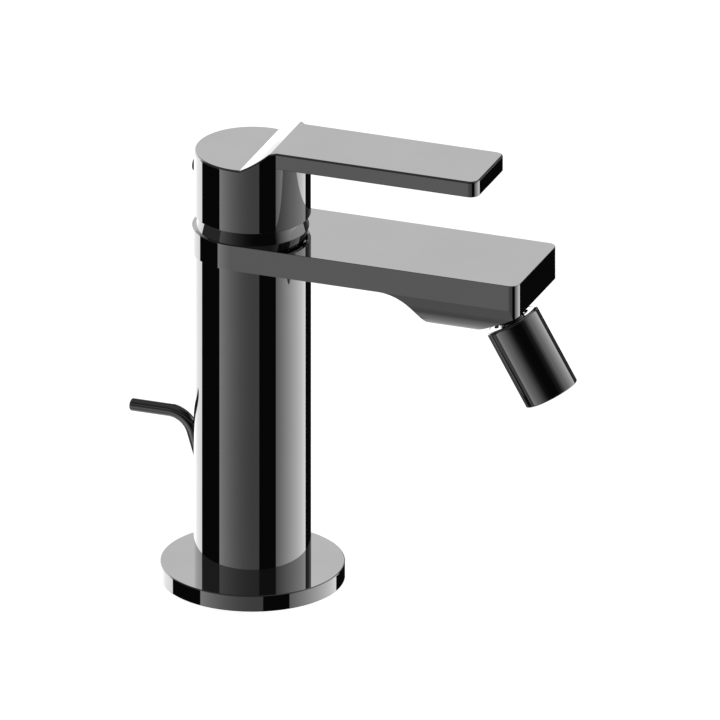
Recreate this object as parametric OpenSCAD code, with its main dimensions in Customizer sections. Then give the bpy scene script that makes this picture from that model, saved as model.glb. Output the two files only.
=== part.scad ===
// Single-lever bidet mixer: round column on a rosette, flat spout with a
// swivelling ball-joint aerator, lever handle over a ceramic-disc cartridge,
// and a bent pop-up lift rod at the rear. Millimetres. +Z is up, the spout
// points along +X, and the deck surface is the plane Z = 0.

/* [Rosette and column] */
// Rosette outer diameter
base_d = 60; // [56:0.5:66]
// Rosette thickness
base_t = 5.6; // [4.6:0.1:6]
// Column outer diameter
column_d = 38; // [37.6:0.1:38.4]

/* [Spout] */
// Height of the spout's top face above the deck
spout_top = 123.65; // [118:0.05:130]
// Width of the spout and diameter of its collar
spout_w = 38.35; // [38.2:0.05:40]
// Column axis to spout tip
spout_reach = 98.4; // [96:0.1:102]
// Thickness of the flat part of the spout
spout_t = 8.75; // [8.5:0.05:9.2]
// Depth of the boss that carries the aerator, below the spout's top face
boss_depth = 20.45; // [19.8:0.05:21]
// Plan radius of the spout's front corners
spout_corner_r = 3.1; // [1:0.1:4]

/* [Aerator] */
// Tilt of the aerator axis forward from the vertical, at rest
nozzle_tilt = 30; // [28:0.5:32]
// Aerator barrel diameter
nozzle_d = 18.7; // [18.2:0.1:19]
// Aerator barrel length
nozzle_len = 28.1; // [27:0.1:30]
// Diameter of the stud's neck between the spout and the barrel
stud_neck_d = 8.8; // [8:0.1:9]

/* [Handle] */
// Handle hub diameter
handle_d = 37.9; // [37.5:0.1:38.1]
// Height of the hub, from its lower edge to the flat at the rear
hub_h = 22; // [21.5:0.1:24]
// Height of the lever's top face above the hub's rear flat
lever_rise = 5.5; // [5.1:0.1:7]
// Lever plate thickness
lever_t = 5.45; // [4:0.05:5.5]
// Lever plate width
lever_w = 27.15; // [22:0.05:30]
// Column axis to lever tip
lever_reach = 82.4; // [70:0.1:95]
// Gap between the spout's top face and the handle's lower edge
handle_gap = 4.5; // [4.4:0.1:6]

/* [Lift rod] */
// Lift rod diameter
rod_d = 4.3; // [3.8:0.05:4.4]
// Height of the rod's horizontal part above the deck
rod_z = 54.2; // [53:0.1:60]
// Column axis to the free end of the rod
rod_reach = 42.1; // [40:0.1:60]
// Bend radius on the rod's centre line
rod_bend_r = 8.5; // [7:0.1:8.5]

/* [Connections] */
// Tapping drill diameter of the fixing stud hole (M8)
stud_hole_d = 6.8; // [6.6:0.1:7]
// Tapping drill diameter of the two hose ports (M10 x 1)
hose_port_d = 9; // [8.8:0.1:9.2]

/* [Hidden] */
$fn = 96;
e = 0.1;

base_r = base_d / 2;
column_r = column_d / 2;
spigot_r = 17;
neck_spigot_r = 14.9;
seat_r = 12.55;

spout_bot = spout_top - spout_t;
collar_r = spout_w / 2;
collar_back = 0.5;
handle_r = handle_d / 2;
handle_bot = spout_top + handle_gap;
moon_z = handle_bot + hub_h;
lever_top = moon_z + lever_rise;
ramp_x0 = 2.4;
ramp_x1 = 11.1;
plug_z = handle_bot + 13.8;

// cartridge levels, measured from the lever's pivot
pivot_z = handle_bot - 8.7;
seat_z = pivot_z - 21;
ball_z = pivot_z - 6.7;
neck_top = handle_bot - 0.1;

// water ports of the cartridge (X, Y)
inlet_xy = [3.5, 6.2];
outlet_x = -5.5;
inlet_r = 2.3;
outlet_r = 2.6;
cross_z = seat_z - 6;
hose_xy = [4, 8.2];
kidney_a = 36;

// aerator: it hangs from the facet under the spout
nz = nozzle_tilt;
facet_a = 28;
tip_face_h = 11.15;
facet_x = 87.53;
facet_z = spout_top - tip_face_h - (spout_reach - facet_x) * tan(facet_a);
barrel_s0 = 3.55;
barrel_top_r = 1;
barrel_s1 = barrel_s0 + nozzle_len;
ball_r = 7.4;
ball_s = barrel_s0 + 6;
barrel_r = nozzle_d / 2;
neck_r = stud_neck_d / 2;

// boss cross-section: a band leaning in, then a rounding to the flat underside
band_a = 8;
band_d = 12.05;
band_v = (band_d - spout_t) * tan(band_a);
round_r = (boss_depth - band_d) / (1 - sin(band_a));
cove_r = 16.3;
cove_x = 50.2;

// lift rod
rod_r = rod_d / 2;
rod_a = 73.4;
bend_x = -28.7;
bend_z = rod_z - rod_bend_r;
leg_x = bend_x + rod_bend_r * sin(rod_a);
leg_z = bend_z + rod_bend_r * cos(rod_a);
rod_lean = 90 - rod_a;
rod_end_z = 1.2;
leg_len = (leg_z - rod_end_z) / sin(rod_a);

// ---------------------------------------------------------------- placing

// origin at the facet's centre, local +Z out along the aerator axis
module on_nozzle() {
    translate([facet_x, 0, facet_z]) rotate([0, 180 - nz, 0]) children();
}

// origin at the top of the rod's straight leg, local +Z up along the leg
module on_rod() {
    translate([leg_x, 0, leg_z]) rotate([0, -rod_lean, 0]) children();
}

// ring of rectangular section
module ring(r0, r1, z0, z1) {
    rotate_extrude() translate([r0, z0]) square([r1 - r0, z1 - z0]);
}

module kidney(r0, r1, z0, z1, a) {
    rotate([0, 0, -a / 2]) rotate_extrude(angle = a)
        translate([r0, z0]) square([r1 - r0, z1 - z0]);
}

// ---------------------------------------------------------------- base

// round plate that covers the deck hole, grooved below for its gasket
module base_rosette() color([0.10, 0.10, 0.11]) {
    difference() {
        rotate_extrude() polygon([
            [spigot_r + 0.1, 0], [base_r - 0.2, 0], [base_r, 0.2],
            [base_r, base_t - 0.35], [base_r - 0.35, base_t],
            [spigot_r + 0.1, base_t]]);
        ring(20.5, 25.5, -e, 1.5);
        ring(spigot_r, 18.5, 1.9, 3.6);
    }
}

// flat rubber ring between rosette and deck
module base_gasket() color([0.12, 0.12, 0.12])
    ring(20.55, 25.45, 0.05, 1.48);

// O-ring that centres the rosette on the column's foot
module rosette_o_ring() color([0.13, 0.13, 0.13])
    rotate_extrude() translate([17.76, 2.75]) circle(r = 0.72);

// ---------------------------------------------------------------- column

// turned brass body: foot, column, threaded neck, cartridge seat, waterways
module column_body() color([0.12, 0.12, 0.13]) {
    difference() {
        rotate_extrude() polygon([
            [0, 0], [spigot_r, 0], [spigot_r, base_t], [column_r, base_t],
            [column_r, spout_bot], [neck_spigot_r, spout_bot],
            [neck_spigot_r, neck_top - 0.7], [0, neck_top - 0.7]]);
        // cartridge seat
        translate([0, 0, seat_z]) cylinder(r = seat_r, h = 60);
        // fixing stud
        translate([0, 0, -e]) cylinder(d = stud_hole_d, h = 16 + e);
        // hot and cold: hose port below, waterway up to the seat
        for (s = [-1, 1]) {
            translate([hose_xy[0], s * hose_xy[1], -e])
                cylinder(d = hose_port_d, h = 14 + e);
            translate([inlet_xy[0], s * inlet_xy[1], 10])
                cylinder(r = inlet_r, h = seat_z - 10 + e);
        }
        // mixed water: down, forward, up to the spout
        translate([outlet_x, 0, cross_z - 2.9])
            cylinder(r = outlet_r, h = seat_z - cross_z + 2.9 + e);
        translate([outlet_x, 0, cross_z]) rotate([0, 90, 0])
            cylinder(r = 2.4, h = 16.9 - outlet_x);
        kidney(15.3, 17.7, cross_z - 2, spout_bot + e, kidney_a);
        // slanted passage of the lift rod, wider at the top for its bush
        on_rod() translate([0, 0, -leg_len - 8])
            cylinder(r = rod_r + 0.45, h = leg_len + 8 + 2);
        on_rod() translate([0, 0, -26]) cylinder(r = 2.85, h = 28);
    }
}

// plastic bush that guides the lift rod, trimmed to the column's surface
module rod_guide_bush() color([0.16, 0.16, 0.17]) {
    intersection() {
        on_rod() translate([0, 0, -25.9]) difference() {
            cylinder(r = 2.8, h = 27);
            translate([0, 0, -e]) cylinder(r = rod_r + 0.06, h = 30);
        }
        cylinder(r = column_r - 0.15, h = 90);
    }
}

// ---------------------------------------------------------------- spout

module spout_plan() {
    translate([-collar_back, 0]) circle(r = collar_r);
    translate([-collar_back, -collar_r])
        square([spout_reach - spout_corner_r + collar_back, spout_w]);
    translate([-collar_back, -collar_r + spout_corner_r])
        square([spout_reach + collar_back, spout_w - 2 * spout_corner_r]);
    for (s = [-1, 1]) translate([spout_reach - spout_corner_r,
        s * (collar_r - spout_corner_r)]) circle(r = spout_corner_r);
}

// side view: X to the right, height up, zero at the spout's top face
module spout_side() {
    facet_run = (boss_depth - tip_face_h) / tan(facet_a);
    difference() {
        polygon([[-collar_r - 1, 0], [spout_reach, 0],
            [spout_reach, -tip_face_h],
            [spout_reach - facet_run, -boss_depth], [cove_x, -boss_depth],
            [cove_x, -spout_t], [-collar_r - 1, -spout_t]]);
        translate([cove_x, -spout_t - cove_r]) circle(r = cove_r);
    }
}

// front view: Y to the right, height up, zero at the spout's top face
module spout_section() {
    right = [for (i = [0:8]) let (a = band_a + (90 - band_a) * i / 8)
        [collar_r - band_v - round_r * (cos(band_a) - cos(a)),
         -band_d - round_r * (sin(a) - sin(band_a))]];
    left = [for (i = [0:8]) [-right[8 - i][0], right[8 - i][1]]];
    polygon(concat([[-collar_r - 1, 0], [collar_r + 1, 0],
        [collar_r + 1, -spout_t], [collar_r, -spout_t]], right, left,
        [[-collar_r, -spout_t], [-collar_r - 1, -spout_t]]));
}

// flat spout with its collar, cove and aerator boss, and the waterway inside
module spout() color([0.12, 0.12, 0.13]) {
    difference() {
        intersection() {
            translate([0, 0, spout_top - 30]) linear_extrude(30) spout_plan();
            translate([0, 30, spout_top]) rotate([90, 0, 0])
                linear_extrude(60) spout_side();
            translate([-30, 0, spout_top]) rotate([90, 0, 90])
                linear_extrude(140) spout_section();
        }
        translate([0, 0, spout_bot - e]) cylinder(r = 15, h = spout_t + 1);
        translate([0, 0, spout_bot - e]) cylinder(r = 18.4, h = 0.5 + e);
        kidney(15.3, 17.7, spout_bot, spout_bot + 4.3, kidney_a);
        translate([16.4, 0, spout_bot + 4.3]) rotate([0, 90, 0])
            cylinder(r = 2.6, h = 67.5);
        on_nozzle() translate([0, 0, -12.4])
            cylinder(r = 3.95, h = 12.4 + e);
    }
}

// rubber face seal between column and spout, open over the water port
module spout_gasket() color([0.11, 0.11, 0.12]) {
    difference() {
        ring(15.05, 18.3, spout_bot + 0.02, spout_bot + 0.48);
        kidney(15.3, 17.7, spout_bot - 1, spout_bot + 2, kidney_a);
    }
}

// conical ring nut that clamps the spout onto the column
module neck_ring() color([0.12, 0.12, 0.13])
    rotate_extrude() polygon([
        [14.95, spout_top], [18.4, spout_top], [18.4, spout_top + 0.15],
        [17.3, neck_top - 0.1], [17.15, neck_top], [14.95, neck_top]]);

// ---------------------------------------------------------------- cartridge

// brass ring nut with spanner slots that holds the cartridge down
module cartridge_nut() color([0.80, 0.65, 0.35]) {
    difference() {
        ring(10.75, 12.5, pivot_z + 4.95, neck_top - 0.3);
        for (i = [0:2]) rotate([0, 0, 30 + 60 * i])
            translate([-20, -1.1, neck_top - 1.6]) cube([40, 2.2, 3]);
    }
}

// outer plastic shell of the cartridge
module cartridge_housing() color([0.85, 0.85, 0.82])
    rotate_extrude() polygon([
        [10.35, seat_z + 6.05], [12.45, seat_z + 6.05],
        [12.45, pivot_z + 4.9], [10.65, pivot_z + 4.9],
        [10.65, neck_top - 0.1], [8.7, neck_top - 0.1],
        [8.7, neck_top - 0.9], [9.45, neck_top - 0.9],
        [9.45, pivot_z + 4.4], [10.35, pivot_z + 4.4]]);

// bottom plate with the two inlets and the outlet
module cartridge_base() color([0.80, 0.80, 0.78]) {
    difference() {
        translate([0, 0, seat_z + 0.05]) cylinder(r = 12.45, h = 5.95);
        for (s = [-1, 1]) translate([inlet_xy[0], s * inlet_xy[1], seat_z]) {
            translate([0, 0, -1]) cylinder(r = inlet_r, h = 10);
            translate([0, 0, -1]) cylinder(r = inlet_r + 1.2, h = 2.05);
        }
        translate([outlet_x, 0, seat_z - 1]) {
            cylinder(r = outlet_r, h = 10);
            cylinder(r = outlet_r + 1.2, h = 2.05);
        }
    }
}

// rubber rings that seal the three ports against the seat
module cartridge_port_seals() color([0.10, 0.10, 0.10]) {
    for (s = [-1, 1]) translate([inlet_xy[0], s * inlet_xy[1], seat_z])
        ring(inlet_r + 0.05, inlet_r + 1.15, 0.02, 1.02);
    translate([outlet_x, 0, seat_z])
        ring(outlet_r + 0.05, outlet_r + 1.15, 0.02, 1.02);
}

// lower ceramic disc, held still
module fixed_ceramic_disc() color([0.93, 0.93, 0.90]) {
    difference() {
        translate([0, 0, seat_z + 6.05]) cylinder(r = 10.2, h = 3);
        for (s = [-1, 1]) translate([inlet_xy[0], s * inlet_xy[1], seat_z])
            cylinder(r = 2.2, h = 20);
        translate([outlet_x, 0, seat_z]) cylinder(r = 2.5, h = 20);
    }
}

// upper ceramic disc with the mixing pocket in its underside
module moving_ceramic_disc() color([0.96, 0.96, 0.94]) {
    difference() {
        translate([0, 0, seat_z + 9.1]) cylinder(r = 8.6, h = 2.95);
        translate([-2.6, 0, seat_z + 9]) cylinder(r = 5.3, h = 1.7);
    }
}

// plastic slide on the moving disc, with the socket for the stem's ball
module disc_carrier() color([0.75, 0.75, 0.72]) {
    difference() {
        translate([0, 0, seat_z + 12.1]) cylinder(r = 8.6, h = 3.4);
        translate([0, 0, seat_z + 11]) cylinder(r = 1.87, h = 6);
    }
}

// turret that turns with the lever and carries its pivot pin
module cartridge_rotor() color([0.90, 0.90, 0.88]) {
    difference() {
        rotate_extrude() polygon([
            [0, pivot_z - 5.1], [10.05, pivot_z - 5.1],
            [10.05, pivot_z + 4.1], [9.1, pivot_z + 4.1],
            [9.1, neck_top - 1.2], [0, neck_top - 1.2]]);
        translate([-6.6, -3.8, pivot_z - 10]) cube([11.6, 7.6, 30]);
        translate([0, -12, pivot_z]) rotate([-90, 0, 0])
            cylinder(r = 1.52, h = 24);
    }
}

// steel pin that the lever stem swings on
module lever_pivot_pin() color([0.70, 0.71, 0.73])
    translate([0, -9, pivot_z]) rotate([-90, 0, 0])
        cylinder(r = 1.5, h = 18);

// square lever stem, with the finger and ball that move the upper disc
module cartridge_stem() color([0.68, 0.69, 0.70]) {
    difference() {
        union() {
            translate([-3.5, -3.5, pivot_z - 3.5])
                cube([7, 7, moon_z - 5.4 - pivot_z + 3.5]);
            translate([0, 0, ball_z]) cylinder(r = 1.3, h = 4);
            translate([0, 0, ball_z]) sphere(r = 1.8);
        }
        translate([0, -6, pivot_z]) rotate([-90, 0, 0])
            cylinder(r = 1.54, h = 12);
    }
}

// ---------------------------------------------------------------- handle

// side view of the hub and lever: X to the right, Z up
module handle_side() {
    n = 14;
    sag = 0.33;
    ramp = [for (i = [0:n]) let (t = i / n)
        [ramp_x0 + (ramp_x1 - ramp_x0) * t + 4 * sag * 0.528 * t * (1 - t),
         moon_z + lever_rise * t - 4 * sag * 0.85 * t * (1 - t)]];
    polygon(concat([[-handle_r - 1, handle_bot - e], [-handle_r - 1, moon_z]],
        ramp, [[lever_reach + 1, lever_top],
        [lever_reach + 1, handle_bot - e]]));
}

module lever_plan() {
    r = 3.2;
    translate([0, -lever_w / 2]) square([lever_reach - r, lever_w]);
    translate([0, -lever_w / 2 + r]) square([lever_reach, lever_w - 2 * r]);
    for (s = [-1, 1])
        translate([lever_reach - r, s * (lever_w / 2 - r)]) circle(r = r);
}

// hollow hub with a flat lever, a ramp between them, and a square socket
module handle() color([0.12, 0.12, 0.13]) {
    difference() {
        intersection() {
            union() {
                translate([0, 0, handle_bot])
                    cylinder(r = handle_r, h = lever_top - handle_bot);
                translate([0, 0, lever_top - lever_t])
                    linear_extrude(lever_t) lever_plan();
            }
            translate([0, 30, 0]) rotate([90, 0, 0])
                linear_extrude(60) handle_side();
        }
        // hollow: thin skirt below, thicker wall above, socket boss left in
        difference() {
            rotate_extrude() polygon([
                [0, handle_bot - 1], [handle_r - 1, handle_bot - 1],
                [handle_r - 1, handle_bot + 3.2],
                [handle_r - 2, handle_bot + 4.2],
                [handle_r - 2, moon_z - 3.5], [0, moon_z - 3.5]]);
            translate([0, 0, handle_bot + 4.2])
                cylinder(r = 7.6, h = 30);
        }
        translate([-3.55, -3.55, handle_bot]) cube([7.1, 7.1, hub_h - 5.2]);
        // set-screw thread in the boss, plug hole in the wall
        translate([-9, 0, plug_z]) rotate([0, 90, 0])
            cylinder(r = 2.05, h = 6.5);
        translate([-handle_r - 2, 0, plug_z]) rotate([0, 90, 0])
            cylinder(r = 2.05, h = 5);
    }
}

// socket set screw that grips the stem
module handle_set_screw() color([0.30, 0.30, 0.31])
    translate([-3.55 - 6, 0, plug_z]) rotate([0, 90, 0]) difference() {
        cylinder(r = 2, h = 6);
        translate([0, 0, -e]) cylinder(r = 1.15, h = 2.6, $fn = 6);
    }

// plug that closes the set-screw hole at the rear of the hub, its head
// hollowed to sit on the hub's round wall
module index_plug() color([0.16, 0.16, 0.17]) {
    translate([0, 0, plug_z]) rotate([0, -90, 0])
        translate([0, 0, handle_r - 2.6]) cylinder(r = 2, h = 2.9);
    difference() {
        translate([0, 0, plug_z]) rotate([0, -90, 0])
            rotate_extrude() polygon([
                [0, handle_r - 0.3], [2.2, handle_r - 0.3],
                [2.2, handle_r + 1], [1.9, handle_r + 1.25],
                [0, handle_r + 1.3]]);
        translate([0, 0, plug_z - 10])
            cylinder(r = handle_r + 0.03, h = 20);
    }
}

// ---------------------------------------------------------------- aerator

// threaded stud with the ball that the aerator swivels on
module ball_stud() color([0.12, 0.12, 0.13]) on_nozzle() difference() {
    union() {
        translate([0, 0, -9]) cylinder(r = 3.9, h = 9.5);
        translate([0, 0, 0.18]) cylinder(r = neck_r, h = ball_s);
        translate([0, 0, ball_s]) sphere(r = ball_r);
    }
    translate([0, 0, -12]) cylinder(r = 2, h = 40);
    translate([0, 0, ball_s + 6.7]) cylinder(r = 10, h = 5);
}

// plastic bearing band round the ball
module ball_liner() color([0.90, 0.90, 0.86]) on_nozzle()
    rotate_extrude() intersection() {
        difference() {
            translate([0, ball_s]) circle(r = 8.1);
            translate([0, ball_s]) circle(r = ball_r + 0.05);
        }
        translate([5, ball_s - 0.7]) square([4, 3.7]);
    }

// turned barrel of the aerator
module nozzle_barrel() color([0.12, 0.12, 0.13]) on_nozzle()
    rotate_extrude() difference() {
        union() {
            polygon([[0, barrel_s0], [barrel_r - barrel_top_r, barrel_s0],
                [barrel_r - barrel_top_r, barrel_s0 + barrel_top_r],
                [barrel_r, barrel_s0 + barrel_top_r],
                [barrel_r, barrel_s1 - 0.3], [barrel_r - 0.3, barrel_s1],
                [0, barrel_s1]]);
            translate([barrel_r - barrel_top_r, barrel_s0 + barrel_top_r])
                circle(r = barrel_top_r);
        }
        translate([-1, barrel_s0 - 1]) square([9.15, ball_s - barrel_s0 + 1]);
        intersection() {
            translate([0, ball_s]) circle(r = 8.15);
            translate([-1, ball_s - 1]) square([12, 6.3]);
        }
        translate([-1, ball_s]) square([7.2, 30]);
        translate([-1, ball_s + 9]) square([9.2, 30]);
    }

// threaded ring that keeps the ball in the barrel
module ball_retaining_ring() color([0.12, 0.12, 0.13]) on_nozzle()
    rotate_extrude() difference() {
        translate([6.15, barrel_s0 + 0.1]) square([1.95, 2.85]);
        translate([0, ball_s]) circle(r = ball_r + 0.1);
    }

// rubber cup seal under the ball
module ball_seal() color([0.10, 0.10, 0.10]) on_nozzle()
    rotate_extrude() difference() {
        translate([4.4, ball_s + 4.6]) square([1.75, 3.6]);
        translate([0, ball_s]) circle(r = ball_r + 0.08);
    }

// rubber washer above the aerator insert
module aerator_washer() color([0.11, 0.11, 0.11]) on_nozzle()
    ring(5.6, 8.1, ball_s + 9.05, ball_s + 10.5);

// plastic disc that limits the flow
module flow_regulator() color([0.35, 0.55, 0.70]) on_nozzle() difference() {
    rotate_extrude() polygon([
        [0, ball_s + 10.1], [2.2, ball_s + 10.55], [7.9, ball_s + 10.55],
        [7.9, ball_s + 13], [0, ball_s + 13]]);
    for (i = [0:11]) rotate([0, 0, 30 * i])
        translate([4.4, 0, ball_s + 9]) cylinder(r = 0.7, h = 6);
}

// stainless screen
module aerator_screen() color([0.72, 0.73, 0.74]) on_nozzle()
    translate([0, 0, ball_s + 13.05]) linear_extrude(0.5) difference() {
        circle(r = 7.9);
        for (k = [1:3], i = [0:6 * k - 1]) rotate(60 * i / k)
            translate([2.1 * k, 0]) circle(r = 0.75);
    }

// threaded insert with the outlet grid
module aerator_housing() color([0.62, 0.63, 0.64]) on_nozzle() difference() {
    translate([0, 0, ball_s + 13.6])
        cylinder(r = 8.1, h = barrel_s1 - 0.6 - ball_s - 13.6);
    translate([0, 0, ball_s + 13]) cylinder(r = 7.2, h = barrel_s1 - 2.6
        - ball_s - 13);
    for (k = [1:3], i = [0:6 * k - 1]) rotate([0, 0, 60 * i / k])
        translate([2 * k, 0, ball_s + 15]) cylinder(r = 0.7, h = 20);
    translate([0, 0, ball_s + 15]) cylinder(r = 0.7, h = 20);
}

// ---------------------------------------------------------------- lift rod

// bent pop-up rod with a rounded free end and a tapped lower end
module lift_rod() color([0.12, 0.12, 0.13]) {
    difference() {
        union() {
            on_rod() translate([0, 0, -leg_len]) cylinder(r = rod_r, h = leg_len);
            translate([bend_x, 0, bend_z]) rotate([0, -90, -90])
                rotate_extrude(angle = rod_a)
                    translate([rod_bend_r, 0]) circle(r = rod_r);
            // weld at the lower end of the bend
            on_rod() translate([0, 0, -0.15])
                cylinder(r = rod_r + 0.01, h = 0.3);
            translate([bend_x, 0, rod_z]) rotate([0, -90, 0])
                rotate_extrude() polygon(concat([[0, 0], [rod_r, 0],
                    [rod_r, rod_reach + bend_x - 0.9]],
                    [for (i = [1:5]) [rod_r - 0.9 * (1 - cos(18 * i)),
                        rod_reach + bend_x - 0.9 * (1 - sin(18 * i))]],
                    [[0, rod_reach + bend_x]]));
        }
        on_rod() translate([0, 0, -leg_len - 1]) cylinder(r = 1.25, h = 9);
    }
}

base_rosette();
base_gasket();
rosette_o_ring();
column_body();
rod_guide_bush();
spout();
spout_gasket();
neck_ring();
cartridge_nut();
cartridge_housing();
cartridge_base();
cartridge_port_seals();
fixed_ceramic_disc();
moving_ceramic_disc();
disc_carrier();
cartridge_rotor();
lever_pivot_pin();
cartridge_stem();
handle();
handle_set_screw();
index_plug();
ball_stud();
ball_liner();
nozzle_barrel();
ball_retaining_ring();
ball_seal();
aerator_washer();
flow_regulator();
aerator_screen();
aerator_housing();
lift_rod();
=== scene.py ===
import math

import bmesh
import bpy
from mathutils import Matrix, Vector


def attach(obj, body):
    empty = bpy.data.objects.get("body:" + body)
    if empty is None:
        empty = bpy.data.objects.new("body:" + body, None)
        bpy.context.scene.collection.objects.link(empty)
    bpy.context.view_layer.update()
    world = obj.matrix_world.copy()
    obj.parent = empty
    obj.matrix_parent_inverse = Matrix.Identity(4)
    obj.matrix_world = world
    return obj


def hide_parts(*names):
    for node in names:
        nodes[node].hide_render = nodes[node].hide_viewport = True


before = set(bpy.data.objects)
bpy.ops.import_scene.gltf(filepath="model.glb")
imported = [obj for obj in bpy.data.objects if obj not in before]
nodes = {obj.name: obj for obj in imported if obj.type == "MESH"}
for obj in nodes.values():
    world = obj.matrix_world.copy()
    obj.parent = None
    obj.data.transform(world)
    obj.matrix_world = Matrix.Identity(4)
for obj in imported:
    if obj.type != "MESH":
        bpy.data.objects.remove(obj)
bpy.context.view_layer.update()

scene = bpy.context.scene
MM = 0.001

# ------------------------------------------------------------------ helpers
# Shapes are built in millimetres in the part's own frame and scaled once, at the end.


def rad(a):
    return math.radians(a)


def spread(a, b, n):
    """n + 1 numbers from a to b."""
    return [a + (b - a) * i / n for i in range(n + 1)]


def arc(cx, cy, r, a0, a1, n):
    return [(cx + r * math.cos(rad(a)), cy + r * math.sin(rad(a))) for a in spread(a0, a1, n)]


def soften(profile, radii, steps=5):
    """The closed profile with the corners in radii, {corner: radius}, rounded."""
    out = []
    n = len(profile)
    for i, p in enumerate(profile):
        r = radii.get(i, 0)
        if not r:
            out.append(tuple(p))
            continue
        p = Vector(p)
        a = (Vector(profile[i - 1]) - p).normalized()
        b = (Vector(profile[(i + 1) % n]) - p).normalized()
        half = a.angle(b) / 2
        c = p + (a + b).normalized() * (r / math.sin(half))
        u = p + a * (r / math.tan(half)) - c
        w = p + b * (r / math.tan(half)) - c
        turn = u.angle(w) * (1 if u.x * w.y - u.y * w.x > 0 else -1)
        for k in range(steps + 1):
            q = turn * k / steps
            out.append((c.x + u.x * math.cos(q) - u.y * math.sin(q),
                        c.y + u.x * math.sin(q) + u.y * math.cos(q)))
    return out


def line_normals(points, closed, crease=24.0):
    """Normals to the right of each segment of a 2-D line, at its start and end. They run
    smoothly through a corner flatter than crease, weighted by the segments' lengths."""
    n = len(points)
    count = n if closed else n - 1
    seg = []
    for i in range(count):
        d = Vector(points[(i + 1) % n]) - Vector(points[i])
        seg.append((Vector((d.y, -d.x)).normalized(), d.length))
    ends = []
    for i in range(count):
        here, length = seg[i]
        pair = []
        for j in (i - 1, i + 1):
            if not closed and not 0 <= j < count:
                pair.append(here)
                continue
            other, olen = seg[j % count]
            if olen < 1e-9 or here.angle(other, 0) > rad(crease):
                pair.append(here)
            else:
                pair.append((here * length + other * olen).normalized())
        ends.append(pair)
    return ends


class Shell:
    """Collects faces with their exact corner normals, then makes one mesh of them."""

    def __init__(self):
        self.verts, self.index, self.faces, self.normals = [], {}, [], []

    def vert(self, p):
        key = tuple(round(c, 4) for c in p)
        if key not in self.index:
            self.index[key] = len(self.verts)
            self.verts.append(Vector(p))
        return self.index[key]

    def face(self, points, normals):
        ids, keep = [], []
        for p, n in zip(points, normals):
            i = self.vert(p)
            if i not in ids:
                ids.append(i)
                keep.append(Vector(n))
        if len(ids) < 3:
            return
        area = Vector((0, 0, 0))
        for i in range(len(ids)):
            area += self.verts[ids[i - 1]].cross(self.verts[ids[i]])
        if area.dot(sum(keep, Vector((0, 0, 0)))) < 0:
            ids.reverse()
            keep.reverse()
        self.faces.append(ids)
        self.normals.append(keep)

    def object(self, name, place=None):
        m = place or Matrix.Identity(4)
        turn = m.to_3x3()
        me = bpy.data.meshes.new(name)
        me.from_pydata([(m @ v) * MM for v in self.verts], [], self.faces)
        me.polygons.foreach_set("use_smooth", [True] * len(me.polygons))
        me.normals_split_custom_set([turn @ n.normalized() for f in self.normals for n in f])
        me.update()
        ob = bpy.data.objects.new(name, me)
        scene.collection.objects.link(ob)
        return ob


def rings(shell, angles, profile, closed=True, crease=24.0):
    """Revolves a profile of (r, z), solid on its left, through the angles in degrees."""
    ends = line_normals(profile, closed, crease)
    n = len(profile)
    for i, (na, nb) in enumerate(ends):
        (r0, z0), (r1, z1) = profile[i], profile[(i + 1) % n]
        if r0 < 1e-6 and r1 < 1e-6:
            continue
        for j in range(len(angles)):
            a, b = rad(angles[j]), rad(angles[(j + 1) % len(angles)])
            ca, sa, cb, sb = math.cos(a), math.sin(a), math.cos(b), math.sin(b)
            pts = [(r0 * ca, r0 * sa, z0), (r0 * cb, r0 * sb, z0),
                   (r1 * cb, r1 * sb, z1), (r1 * ca, r1 * sa, z1)]
            nrm = [(na.x * ca, na.x * sa, na.y), (na.x * cb, na.x * sb, na.y),
                   (nb.x * cb, nb.x * sb, nb.y), (nb.x * ca, nb.x * sa, nb.y)]
            shell.face(pts, nrm)


def lathe(name, profile, seg=240, place=None, crease=24.0):
    area = sum(profile[i - 1][0] * profile[i][1] - profile[i][0] * profile[i - 1][1]
               for i in range(len(profile)))
    if area < 0:
        profile = profile[::-1]
    shell = Shell()
    rings(shell, [360.0 * i / seg for i in range(seg)], profile, True, crease)
    return shell.object(name, place)


# rough solids for cutting, in millimetres
def rough(name, verts, faces):
    me = bpy.data.meshes.new(name)
    me.from_pydata(verts, [], faces)
    bm = bmesh.new()
    bm.from_mesh(me)
    bmesh.ops.recalc_face_normals(bm, faces=bm.faces)
    bm.to_mesh(me)
    bm.free()
    ob = bpy.data.objects.new(name, me)
    scene.collection.objects.link(ob)
    return ob


def stack(name, loops):
    """A closed solid through loops of equal length, capped at both ends."""
    n = len(loops[0])
    verts = [p for loop in loops for p in loop]
    faces = [tuple(range(n)), tuple(range(len(verts) - n, len(verts)))]
    for k in range(len(loops) - 1):
        for i in range(n):
            j = (i + 1) % n
            faces.append((k * n + i, k * n + j, (k + 1) * n + j, (k + 1) * n + i))
    return rough(name, verts, faces)


def rod_cutter(r, z0, z1, place=None, seg=96):
    m = place or Matrix.Identity(4)
    turn = [360.0 * i / seg for i in range(seg)]
    return stack("cut", [[m @ Vector((r * math.cos(rad(a)), r * math.sin(rad(a)), z)) for a in turn]
                         for z in (z0, z1)])


def combine(base, other, how):
    mod = base.modifiers.new("cut", "BOOLEAN")
    mod.operation, mod.solver, mod.object = how, "EXACT", other
    dg = bpy.context.evaluated_depsgraph_get()
    me = bpy.data.meshes.new_from_object(base.evaluated_get(dg))
    base.modifiers.clear()
    old, base.data = base.data, me
    bpy.data.meshes.remove(old)
    spent = other.data
    bpy.data.objects.remove(other)
    bpy.data.meshes.remove(spent)
    return base


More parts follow.
